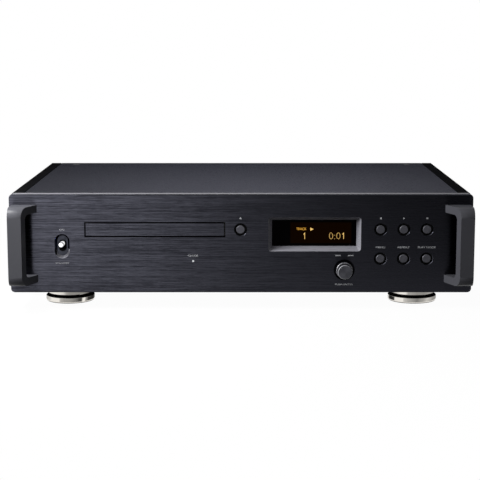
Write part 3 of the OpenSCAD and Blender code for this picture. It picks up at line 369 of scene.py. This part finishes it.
SURFACES = {
    "panel_black": brushed("panel_black", (0.0106, 0.0108, 0.014), (0.0362, 0.0368, 0.0462),
                           # The two lighter colours next are painted highlights for the slopes and the top
                           # band
                           painted_slope_light=(0.154, 0.153, 0.171), edge=(0.116, 0.115, 0.128),
                           # The two dark colours next are painted shade for the recesses and the lever's
                           # recess floor
                           painted_recess_shade=(0.005, 0.005, 0.006), floor=(0.018, 0.019, 0.024),
                           roughness=0.28, amount=1.0),
    "handle_black": satin("handle_black", (0.0375, 0.038, 0.0438), (0.0408, 0.0413, 0.047), 0.36,
                          metallic=0.0, relief=0.003, Specular_IOR_Level=0.08),
    "side_black": satin("side_black", (0.016, 0.016, 0.018), (0.022, 0.022, 0.024), 0.42,
                        Specular_Tint=(0.03, 0.03, 0.033, 1.0)),
    "top_grey": satin("top_grey", (0.0605, 0.061, 0.068), (0.068, 0.0685, 0.076), 0.29,
                      Specular_Tint=(0.35, 0.353, 0.395, 1.0)),
    "steel_black": satin("steel_black", (0.014, 0.014, 0.015), (0.022, 0.022, 0.023), 0.5,
                         metallic=0.0, cycles=1600.0, relief=0.04),
    "foot_metal": plated("foot_metal"),
    "dark_steel": turned("dark_steel", (0.05, 0.05, 0.055), (0.09, 0.09, 0.095), 0.3, "Y"),
    "button_black": turned("button_black", (0.0435, 0.0435, 0.051), (0.0555, 0.0555, 0.0645), 0.4, "Y", 0.3,
                           # It is painted black behind the face, a painted shade in the holes
                           FACE_Y + RECESS, Metallic=0.25, Specular_IOR_Level=0.1),
    "plastic_black": satin("plastic_black", (0.012, 0.012, 0.013), (0.02, 0.02, 0.021), 0.4,
                           metallic=0.0, relief=0.02),
    "tray_plastic": satin("tray_plastic", (0.016, 0.016, 0.017), (0.022, 0.022, 0.023), 0.38,
                          metallic=0.0, relief=0.03),
    "board_green": board("board_green"),
    "lever_chrome": satin("lever_chrome", (0.88, 0.88, 0.89), (0.93, 0.93, 0.94), 0.2, metallic=0.9),
    "window_smoke": satin("window_smoke", (0.0004, 0.0004, 0.0006), (0.0006, 0.0006, 0.0008), 0.06,
                          metallic=0.0, relief=0.0, Specular_IOR_Level=0.01),
    "lamp_white": glowing("lamp_white", (0.85, 0.9, 1.0), 0.26, (0.3, 0.3, 0.3)),
    "gear_white": satin("gear_white", (0.66, 0.65, 0.6), (0.74, 0.73, 0.68), 0.42,
                        metallic=0.0, relief=0.02),
    "steel": turned("steel", (0.5, 0.5, 0.5), (0.6, 0.6, 0.58), 0.28, "Z", 0.3),
    "rubber_black": satin("rubber_black", (0.008, 0.008, 0.008), (0.014, 0.014, 0.014), 0.7, metallic=0.0),
    "lens_glass": satin("lens_glass", (0.03, 0.03, 0.09), (0.05, 0.04, 0.14), 0.06,
                        metallic=0.0, relief=0.0, Coat_Weight=1.0),
    "coil": wound("coil"),
    "gold": turned("gold", (0.72, 0.48, 0.16), (0.8, 0.56, 0.22), 0.2, "Y", 0.3),
    "nickel": turned("nickel", (0.6, 0.58, 0.54), (0.68, 0.66, 0.62), 0.18, "Y", 0.3),
}

for name, node in NODES.items():
    node.data.materials.clear()
    node.data.materials.append(SURFACES[SLOT_OF[name]])


def dress(name, material):
    """Gives a node a surface of its own."""
    NODES[name].data.materials[0] = material


# What stands higher than this on a circuit board is a component
BOARD_TOP = 1.7 * MM
for name in ("signal_board", "power_board"):
    dress(name, board(name + "_green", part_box(name)[0].z + BOARD_TOP))
# The knob's sloped edge is painted lighter, a painted highlight, and it is painted black behind the face, a
# painted shade
dress("jog_knob", turned("jog_black", (0.048, 0.049, 0.056), (0.062, 0.063, 0.072), 0.36, "Y", 0.4,
                         FACE_Y + RECESS, painted_slope_light=(0.136, 0.137, 0.149)))
for name in ("button_guides", "power_switch"):
    dress(name, satin(name + "_black", (0.001, 0.001, 0.001), (0.002, 0.002, 0.002), 0.6,
                      metallic=0.0, Specular_IOR_Level=0.1))

# Outside edges that the hand meets are broken by a small radius, in millimetres
EDGE_RADII = {
    "left_handle": 0.5, "right_handle": 0.5, "left_side": 0.4, "right_side": 0.4,
    "top_plate": 0.35, "rear_panel": 0.25, "floor_pan": 0.25, "disc_tray": 0.25,
    "jog_knob": 0.25, "power_lever": 0.3, "mains_inlet": 0.2, "foot_collars": 0.2, "foot_dishes": 0.2,
}
SHARP_EDGE = math.radians(35)
WELD_GAP = 0.002 * MM
for name, radius in EDGE_RADII.items():
    weld = NODES[name].modifiers.new("weld", "WELD")
    weld.merge_threshold = WELD_GAP
    edge = NODES[name].modifiers.new("edge", "BEVEL")
    edge.width = radius * MM
    edge.segments = 2
    edge.limit_method = "ANGLE"
    edge.angle_limit = SHARP_EDGE
    edge.harden_normals = True


# Panel markings, drawn in millimetres

# Thickness of a print, the share of it that lies under the face, and the gap over which points are joined
PRINT_T = 0.03
PRINT_SUNK = 0.1
PRINT_WELD = 0.0005 * MM


def word(text, x, z, width, height, weight=0.0):
    """A word set to a width and a cap height, as a mesh ready to lay on the panel."""
    curve = bpy.data.curves.new("word", "FONT")
    curve.body = text
    curve.offset = weight
    curve.extrude = 0.5
    curve.resolution_u = 3
    carrier = bpy.data.objects.new("word", curve)
    bpy.context.scene.collection.objects.link(carrier)
    bpy.context.view_layer.update()
    mesh = bpy.data.meshes.new_from_object(carrier.evaluated_get(bpy.context.evaluated_depsgraph_get()))
    bpy.data.objects.remove(carrier)
    bpy.data.curves.remove(curve)
    xs = [v.co.x for v in mesh.vertices]
    ys = [v.co.y for v in mesh.vertices]
    across, up = max(xs) - min(xs), max(ys) - min(ys)
    for v in mesh.vertices:
        v.co = ((v.co.x - min(xs)) / across * width + x - width / 2,
                (v.co.y - min(ys)) / up * height + z - height / 2, v.co.z)
    return mesh


def shape(outlines, x, z):
    """Flat outlines round a place, each extruded to a prism of unit thickness."""
    made = bmesh.new()
    for outline in outlines:
        loops = [[made.verts.new((x + u, z + v, depth)) for u, v in outline] for depth in (-0.5, 0.5)]
        made.faces.new(reversed(loops[0]))
        made.faces.new(loops[1])
        for i in range(len(outline)):
            k = (i + 1) % len(outline)
            made.faces.new((loops[0][i], loops[0][k], loops[1][k], loops[1][i]))
    bmesh.ops.recalc_face_normals(made, faces=made.faces)
    mesh = bpy.data.meshes.new("shape")
    made.to_mesh(mesh)
    made.free()
    return mesh


def laid(name, meshes, face_y, surface):
    """Joins meshes drawn in the panel's plane and lays them on a face that looks along -Y."""
    made = bmesh.new()
    for mesh in meshes:
        made.from_mesh(mesh)
        bpy.data.meshes.remove(mesh)
    for v in made.verts:
        v.co = (v.co.x * MM, face_y - (v.co.z + 0.5 - PRINT_SUNK) * PRINT_T * MM, v.co.y * MM)
    bmesh.ops.remove_doubles(made, verts=made.verts, dist=PRINT_WELD)
    bmesh.ops.recalc_face_normals(made, faces=made.faces)
    mesh = bpy.data.meshes.new(name)
    made.to_mesh(mesh)
    made.free()
    piece = bpy.data.objects.new(name, mesh)
    mesh.materials.append(surface)
    bpy.context.scene.collection.objects.link(piece)
    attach(piece, "case")


def block(x, z, width, height):
    """A rectangle round a place."""
    return [(x - width / 2, z - height / 2), (x + width / 2, z - height / 2),
            (x + width / 2, z + height / 2), (x - width / 2, z + height / 2)]


def arrow(x, z, width, height, way=1):
    """A triangle that points along X, right for 1 and left for -1."""
    return [(x - way * width / 2, z - height / 2), (x + way * width / 2, z),
            (x - way * width / 2, z + height / 2)][::way]


def one(x, z, height):
    """The figure 1 with its flag, round a place."""
    top, stem, flag = height / 2, 0.042 * height, 0.18 * height
    return shape([[(stem, -top), (stem, top), (-0.3 * stem, top), (-flag, 0.6 * top), (-flag, 0.32 * top),
                   (-stem, 0.56 * top), (-stem, -top)]], x, z)


def at(name):
    """Where a node's middle lies on the panel."""
    place = centre(name) / MM
    return place.x, place.z


# Each word with its node, its height above the node's middle and its width
CAP = 1.75
WORD_UP = 11.1
WORDS = (
    ("ON", "power_switch", 16.0, 4.6),
    ("STANDBY", "power_switch", -16.5, 13.2),
    ("CLOCK", "clock_lamp", 5.3, 9.8),
    ("MENU", "menu_button", WORD_UP, 8.8),
    ("REPEAT", "repeat_button", WORD_UP, 11.4),
    ("PLAY MODE", "mode_button", WORD_UP, 17.0),
)

# Each button's sign, with its height above the button's middle
MARK = 1.6
SIGN_UP = 10.9
EJECT_UP = 11.1
SIGNS = (
    ("stop_button", SIGN_UP, [block(0, 0, MARK, MARK)]),
    ("play_button", SIGN_UP, [arrow(0, 0, MARK, 1.15 * MARK)]),
    ("pause_button", SIGN_UP, [block(s * 0.34 * MARK, 0, 0.36 * MARK, MARK) for s in (-1, 1)]),
    ("eject_button", EJECT_UP,
     [block(0, -0.45 * MARK, 1.2 * MARK, 0.28 * MARK),
      [(-0.6 * MARK, -0.18 * MARK), (0.6 * MARK, -0.18 * MARK), (0, 0.6 * MARK)]]),
)

# The skip signs above the knob, each of four arrows and a bar, and the word under the knob
SKIP_SIDE = 6.15
SKIP_UP = 14.0
SKIP_H = 1.5
SKIP_BAR = (2.3, 0.3)
SKIP_ARROWS = (-1.9, -0.8, 0.5, 1.6)
SKIP_ARROW_W = 1.1
PUSH_DOWN = 14.3
PUSH_SIZE = (17.2, 1.6)

prints = []
for text, node, up, width in WORDS:
    x, z = at(node)
    prints.append(word(text, x, z + up, width, CAP))
for node, up, outlines in SIGNS:
    x, z = at(node)
    prints.append(shape(outlines, x, z + up))
x, z = at("jog_knob")
for way in (-1, 1):
    bar = [block(way * SKIP_BAR[0], 0, SKIP_BAR[1], SKIP_H)]
    arrows = [arrow(way * s, 0, SKIP_ARROW_W, SKIP_H, way) for s in SKIP_ARROWS]
    prints.append(shape(bar + arrows, x + way * SKIP_SIDE, z + SKIP_UP))
prints.append(word("PUSH ENTER", x, z - PUSH_DOWN, *PUSH_SIZE))

ink = satin("print_ink", (0.29, 0.295, 0.31), (0.32, 0.325, 0.34), 0.5, metallic=0.0, relief=0.0)
laid("panel_markings", prints, FACE_Y, ink)

# Display: a dim lit field on the smoked window, with the track number and the time. Places are from the
# field's middle, in millimetres.
FIELD = (59.0, 20.4)
FIELD_SHIFT = 6.5
GLYPH_LIFT = 0.02 * MM
TITLE = (-18.9, 3.8, 9.6, 2.4)
PLAY_X = -8.6
PLAY_UP = 3.5
PLAY_SIZE = 3.2
FIGURE = 6.3
FIGURE_DOWN = 3.0
TRACK_X = -15.6
MINUTES_X = 13.4
MINUTES_W = 10.8
MINUTES_WEIGHT = -0.03
SECOND_X = 22.0

window_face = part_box("display_window")[0].y
window = centre("display_window") / MM
field_x = window.x + FIELD_SHIFT
figure_z = window.z - FIGURE_DOWN
glyph_y = window_face - GLYPH_LIFT
glow = glowing("display_field", (1.0, 0.34, 0.04), 0.004, (0.0002, 0.0001, 0.0001))
amber = glowing("display_amber", (1.0, 0.5, 0.07), 0.9)
yellow = glowing("display_yellow", (1.0, 0.64, 0.2), 0.92)

laid("display_glow", [shape([block(0, 0, *FIELD)], field_x, window.z)], window_face, glow)
title_x, title_up, *title_size = TITLE
title = [word("TRACK", field_x + title_x, window.z + title_up, *title_size)]
laid("display_title", title, glyph_y, amber)
figures = [one(field_x + TRACK_X, figure_z, FIGURE), one(field_x + SECOND_X, figure_z, FIGURE),
           word("0:0", field_x + MINUTES_X, figure_z, MINUTES_W, FIGURE, weight=MINUTES_WEIGHT),
           shape([arrow(0, 0, PLAY_SIZE, PLAY_SIZE)], field_x + PLAY_X, window.z + PLAY_UP)]
laid("display_figures", figures, glyph_y, yellow)


# Studio, in metres

def light_path(tree):
    """1 for rays from the camera and for what metal and glass show, 0 for the light on the object."""
    path = tree.nodes.new("ShaderNodeLightPath")
    seen = path.outputs["Is Camera Ray"]
    for kind in ("Is Glossy Ray", "Is Transmission Ray"):
        either = tree.nodes.new("ShaderNodeMath")
        either.operation = "MAXIMUM"
        tree.links.new(seen, either.inputs[0])
        tree.links.new(path.outputs[kind], either.inputs[1])
        seen = either.outputs[0]
    return seen


def show(tree, factor, first, second, output):
    """Leads the first shader to an output where a factor is 0, and the second where it is 1."""
    choose = tree.nodes.new("ShaderNodeMixShader")
    for source, socket in zip((factor, first, second), choose.inputs):
        tree.links.new(source, socket)
    tree.links.new(choose.outputs[0], output)


def stage_plane(name, corners, material, glossy_only=False):
    """Flat cards that belong to the stage, four corners each; some show only in reflections."""
    mesh = bpy.data.meshes.new(name)
    mesh.from_pydata(corners, [], [tuple(range(i, i + 4)) for i in range(0, len(corners), 4)])
    mesh.materials.append(material)
    plane = bpy.data.objects.new(name, mesh)
    bpy.context.scene.collection.objects.link(plane)
    if glossy_only:
        plane.visible_camera = False
        plane.visible_diffuse = False
        plane.visible_shadow = False
        plane.visible_transmission = False
    return plane


# A white background, with a low even light on the object itself
AMBIENT = 0.065
world = bpy.data.worlds.new("studio")
bpy.context.scene.world = world
world.use_nodes = True
tree = world.node_tree
ambient = tree.nodes["Background"]
ambient.inputs["Color"].default_value = (AMBIENT, AMBIENT, AMBIENT, 1.0)
white = tree.nodes.new("ShaderNodeBackground")
white.inputs["Color"].default_value = (1.0, 1.0, 1.0, 1.0)
world_output = tree.nodes["World Output"].inputs["Surface"]
show(tree, light_path(tree), ambient.outputs[0], white.outputs[0], world_output)

# A white floor that keeps a share of the object's shadow, which fades out between two distances
SHADOW = 0.03
SHADOW_REACH = (0.3, 0.6)
FLOOR_TONE = 0.6
FLOOR_REACH = 8.0
FLOOR_Z = -0.0002
floor_paint = bpy.data.materials.new("floor_white")
floor_paint.use_nodes = True
tree = floor_paint.node_tree
tree.nodes.remove(tree.nodes["Principled BSDF"])
matt = tree.nodes.new("ShaderNodeBsdfDiffuse")
matt.inputs["Color"].default_value = (FLOOR_TONE, FLOOR_TONE, FLOOR_TONE, 1.0)
lit = tree.nodes.new("ShaderNodeEmission")
lit.inputs["Color"].default_value = (1.0, 1.0, 1.0, 1.0)
place = tree.nodes.new("ShaderNodeTexCoord")
distance = tree.nodes.new("ShaderNodeVectorMath")
distance.operation = "LENGTH"
fade = tree.nodes.new("ShaderNodeMapRange")
for socket, value in zip(range(1, 5), (*SHADOW_REACH, 1.0 - SHADOW, 1.0)):
    fade.inputs[socket].default_value = value
share = tree.nodes.new("ShaderNodeMath")
share.operation = "MULTIPLY"
tree.links.new(place.outputs["Object"], distance.inputs[0])
tree.links.new(distance.outputs["Value"], fade.inputs[0])
tree.links.new(light_path(tree), share.inputs[0])
tree.links.new(fade.outputs[0], share.inputs[1])
floor_output = tree.nodes["Material Output"].inputs["Surface"]
show(tree, share.outputs[0], matt.outputs[0], lit.outputs[0], floor_output)
floor = stage_plane("floor", [(-FLOOR_REACH, -FLOOR_REACH, FLOOR_Z), (FLOOR_REACH, -FLOOR_REACH, FLOOR_Z),
                              (FLOOR_REACH, FLOOR_REACH, FLOOR_Z), (-FLOOR_REACH, FLOOR_REACH, FLOOR_Z)],
                    floor_paint)
floor.visible_diffuse = False


def card_paint(name, stops, round_card=False):
    """Light of a reflector card along X, or round its own axis, as (place, strength) stops."""
    material = bpy.data.materials.new(name)
    material.use_nodes = True
    nodes = material.node_tree.nodes
    links = material.node_tree.links
    nodes.remove(nodes["Principled BSDF"])
    light = nodes.new("ShaderNodeEmission")
    coordinates = nodes.new("ShaderNodeTexCoord")
    ramp = nodes.new("ShaderNodeValToRGB")
    places, strengths = zip(*stops)
    if round_card:
        angle = nodes.new("ShaderNodeTexGradient")
        angle.gradient_type = "RADIAL"
        links.new(coordinates.outputs["Object"], angle.inputs[0])
        links.new(angle.outputs["Fac"], ramp.inputs[0])
        first, span = -180.0, 360.0
    else:
        split = nodes.new("ShaderNodeSeparateXYZ")
        along = nodes.new("ShaderNodeMapRange")
        first, span = places[0], places[-1] - places[0]
        along.inputs[1].default_value = first
        along.inputs[2].default_value = first + span
        links.new(coordinates.outputs["Object"], split.inputs[0])
        links.new(split.outputs["X"], along.inputs[0])
        links.new(along.outputs[0], ramp.inputs[0])
    most = max(strengths)
    light.inputs["Strength"].default_value = most
    marks = ramp.color_ramp.elements
    while len(marks) < len(stops):
        marks.new(0.5)
    for mark, place in zip(marks, places):
        mark.position = (place - first) / span
    for mark, strength in zip(marks, strengths):
        mark.color = (strength / most, strength / most, strength / most, 1.0)
    links.new(ramp.outputs["Color"], light.inputs["Color"])
    links.new(light.outputs[0], nodes["Material Output"].inputs["Surface"])
    return material


# Cards across the stage, seen only in reflections, between two places along X
CARD_X = 0.9


def upright(y, low, high):
    """Corners of a card that stands between two heights."""
    return [(-CARD_X, y, low), (CARD_X, y, low), (CARD_X, y, high), (-CARD_X, y, high)]


def level(z, front, back):
    """Corners of a card that lies between two places along Y."""
    return [(-CARD_X, front, z), (CARD_X, front, z), (CARD_X, back, z), (-CARD_X, back, z)]


# A reflector in front, bright on the left and dark on the right, which lies on the floor and stands up
# at its far end
FRONT_STOPS = ((-CARD_X, 3.5), (-0.3, 3.5), (-0.19, 3.1), (-0.1, 2.0), (0.0, 1.04), (0.09, 0.52),
               (0.26, 0.11), (CARD_X, 0.06))
FRONT_Y = (-1.25, -0.25)
FRONT_Z = (0.001, 0.9)
front_card = card_paint("front_card", FRONT_STOPS)
stage_plane("front_reflector", level(FRONT_Z[0], *FRONT_Y) + upright(FRONT_Y[0], *FRONT_Z),
            front_card, glossy_only=True)

# A glow behind, brightest in the middle, which shows in the top plate, and a dark card under it
REAR_STOPS = ((-CARD_X, 0.45), (-0.36, 0.55), (-0.12, 1.2), (0.0, 1.3), (0.12, 1.2), (0.36, 0.55),
              (CARD_X, 0.4))
REAR_GLOW_Y = 0.56
REAR_GLOW_Z = (0.2, 1.6)
REAR_SHADE = 0.02
REAR_SHADE_Y = 0.55
REAR_SHADE_Z = (0.0, 0.21)
rear_glow = card_paint("rear_glow", REAR_STOPS)
stage_plane("rear_glow", upright(REAR_GLOW_Y, *REAR_GLOW_Z), rear_glow, glossy_only=True)
rear_card = card_paint("rear_card", ((-CARD_X, REAR_SHADE), (CARD_X, REAR_SHADE)))
stage_plane("rear_shade", upright(REAR_SHADE_Y, *REAR_SHADE_Z), rear_card, glossy_only=True)

# A small card in the lever's recess, clear from behind, which shows along the polished lever
LEVER_GLOW = 0.9
LEVER_CARD = 5.0 * MM
LEVER_CARD_Y = FACE_Y + 4.5 * MM
lever_paint = card_paint("lever_card", ((-CARD_X, LEVER_GLOW), (CARD_X, LEVER_GLOW)))
tree = lever_paint.node_tree
lever_output = tree.nodes["Material Output"].inputs["Surface"]
behind_card = tree.nodes.new("ShaderNodeNewGeometry").outputs["Backfacing"]
clear = tree.nodes.new("ShaderNodeBsdfTransparent").outputs[0]
show(tree, behind_card, lever_output.links[0].from_socket, clear, lever_output)
lever = centre("power_lever")
left, right = lever.x - LEVER_CARD, lever.x + LEVER_CARD
bottom, top = lever.z - LEVER_CARD, lever.z + LEVER_CARD
stage_plane("lever_card", [(left, LEVER_CARD_Y, bottom), (right, LEVER_CARD_Y, bottom),
                           (right, LEVER_CARD_Y, top), (left, LEVER_CARD_Y, top)],
            lever_paint, glossy_only=True)

# Low screens round the feet, a little wider than their dishes, whose light and dark bands show in the
# polished metal. A band is an angle from the front, in degrees, and a strength.
FOOT_R = 24.1 * MM
RING_R = 27.0 * MM
RING_SIDES = 64
FRONT = -90.0
REAR_BANDS = ((120, 0.6), (150, 1.2), (210, 0.5), (240, 1.2), (269, 0.5))
LEFT_DISH = ((-90, 0.5), (-61, 0.8), (-50, 1.1), (-25, 1.1), (-21, 0.55), (-10, 0.42), (8, 0.35),
             (18, 0.26), (25, 0.17), (28, 0.09), (36, 0.07), (39, 0.9), (41, 1.1), (47, 1.1),
             (49, 0.4), (55, 0.25), (57, 0.05), (88, 0.03))
LEFT_COLLAR = ((-90, 0.6), (-75, 1.1), (-40, 1.1), (-15, 0.9), (-5, 0.45), (5, 0.35), (30, 0.34),
               (55, 0.3), (72, 0.2), (78, 0.06), (88, 0.02))
RIGHT_DISH = ((-90, 0.05), (-75, 0.02), (-60, 0.05), (-56, 1.05), (-31, 1.1), (-28, 0.72), (-16, 0.52),
              (0, 0.36), (7, 0.26), (15, 0.38), (25, 0.47), (35, 0.72), (47, 0.6), (60, 0.38), (88, 0.34))
RIGHT_COLLAR = ((-90, 0.1), (-75, 0.3), (-60, 0.8), (-45, 1.1), (-25, 1.1), (-18, 0.5), (10, 0.36),
                (35, 0.36), (55, 0.5), (75, 0.5), (88, 0.3))


def foot_screen(name, x, y, bands, low, high):
    """A short open cylinder round a foot, between two heights."""
    step = 2 * math.pi / RING_SIDES
    rim = [(RING_R * math.cos(i * step), RING_R * math.sin(i * step)) for i in range(RING_SIDES)]
    corners = []
    for i in range(RING_SIDES):
        (x0, y0), (x1, y1) = rim[i], rim[(i + 1) % RING_SIDES]
        corners += [(x0, y0, low), (x1, y1, low), (x1, y1, high), (x0, y0, high)]
    stops = [(FRONT + angle, strength) for angle, strength in bands + REAR_BANDS]
    paint = card_paint(name, stops, round_card=True)
    screen = stage_plane(name, corners, paint, glossy_only=True)
    screen.location = (x, y, 0.0)


foot_low, foot_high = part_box("foot_dishes")
collar_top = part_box("foot_collars")[1].z
for x, dish, collar in ((foot_low.x + FOOT_R, LEFT_DISH, LEFT_COLLAR),
                        (foot_high.x - FOOT_R, RIGHT_DISH, RIGHT_COLLAR)):
    for y in (foot_low.y + FOOT_R, foot_high.y - FOOT_R):
        foot_screen("dish_screen", x, y, dish, 0.0, foot_high.z)
        foot_screen("collar_screen", x, y, collar, foot_high.z, collar_top)


def softbox(name, place, aim, width, height, power):
    """A rectangular lamp at a place, turned to another."""
    lamp = bpy.data.lights.new(name, "AREA")
    lamp.shape = "RECTANGLE"
    lamp.size = width
    lamp.size_y = height
    lamp.energy = power
    carrier = bpy.data.objects.new(name, lamp)
    carrier.location = place
    carrier.rotation_euler = (Vector(aim) - Vector(place)).to_track_quat("-Z", "Y").to_euler()
    bpy.context.scene.collection.objects.link(carrier)


# Lamps: place, aim, width and height in metres, and power in watts
LAMPS = {
    "key": ((-1.1, -0.6, 0.52), (0.0, -0.1, 0.05), 0.45, 0.4, 21.4),
    "overhead": ((-0.42, -0.5, 0.66), (-0.1, -0.17, 0.1), 0.4, 0.4, 5.0),
    "corner": ((-0.36, -0.215, 0.36), (-0.21, -0.19, 0.09), 0.08, 0.08, 2.9),
    "fill": ((1.5, -0.45, 0.3), (0.05, -0.17, 0.06), 0.5, 0.5, 4.2),
}
for name, setting in LAMPS.items():
    softbox(name, *setting)

# Camera, as the photograph was taken: its place in metres, how far it looks down in degrees, its focal
# length and sensor in millimetres, and the sideways shift of the picture
EYE = (0.00271, -1.43626, 0.27719)
LOOK_DOWN = 9.162
FOCAL_LENGTH = 102.706
SENSOR_W = 36.0
SHIFT_X = -0.0081
lens = bpy.data.cameras.new("camera")
lens.sensor_width = SENSOR_W
lens.lens = FOCAL_LENGTH
lens.shift_x = SHIFT_X
lens.clip_start = 0.05
eye = bpy.data.objects.new("camera", lens)
eye.location = EYE
eye.rotation_euler = (math.radians(90.0 - LOOK_DOWN), 0.0, 0.0)
bpy.context.scene.collection.objects.link(eye)
bpy.context.scene.camera = eye
bpy.context.scene.view_settings.view_transform = "Standard"
